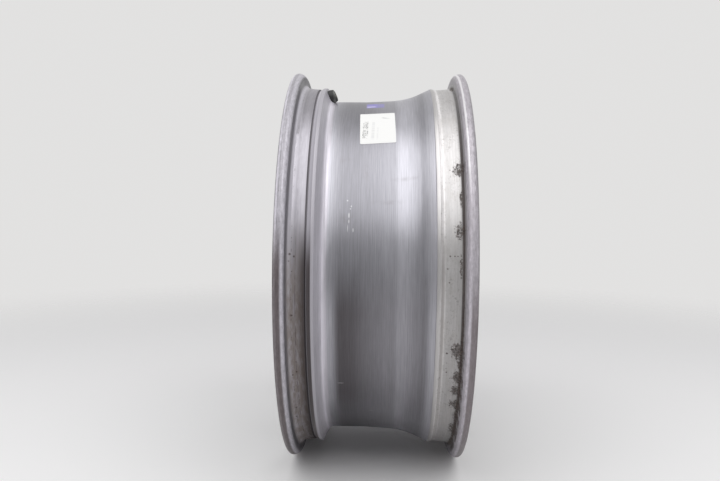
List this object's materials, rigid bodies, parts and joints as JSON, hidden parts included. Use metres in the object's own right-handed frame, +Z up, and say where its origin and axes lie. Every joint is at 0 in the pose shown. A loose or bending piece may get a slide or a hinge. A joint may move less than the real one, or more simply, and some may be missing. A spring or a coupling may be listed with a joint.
{
  "type": "alloy wheel",
  "caption": "Cast aluminium road wheel with paired spokes, stepped rim, snap-in tyre valve and a plain paper label on the drop centre.",
  "frame": {"origin": "on the wheel's axis, in the middle between the two flanges", "axes": "+Y along the wheel's axis towards the car, so the spoke face looks along -Y; +Z up"},
  "size_m": [0.4714, 0.202, 0.4716],
  "materials": {
    "alloy": "machined and tarnished rim, silver lacquered spokes",
    "rubber": "matt black moulded rubber",
    "brass": "plain brass, dulled",
    "core": "plain brass",
    "cap": "black moulded plastic",
    "label": "white label paper"
  },
  "bodies": {
    "root": {"wheel_casting": "alloy", "valve_rubber": "rubber", "valve_stem": "brass", "valve_core": "core", "valve_cap": "cap", "paper_label": "label"}
  },
  "joints": []
}
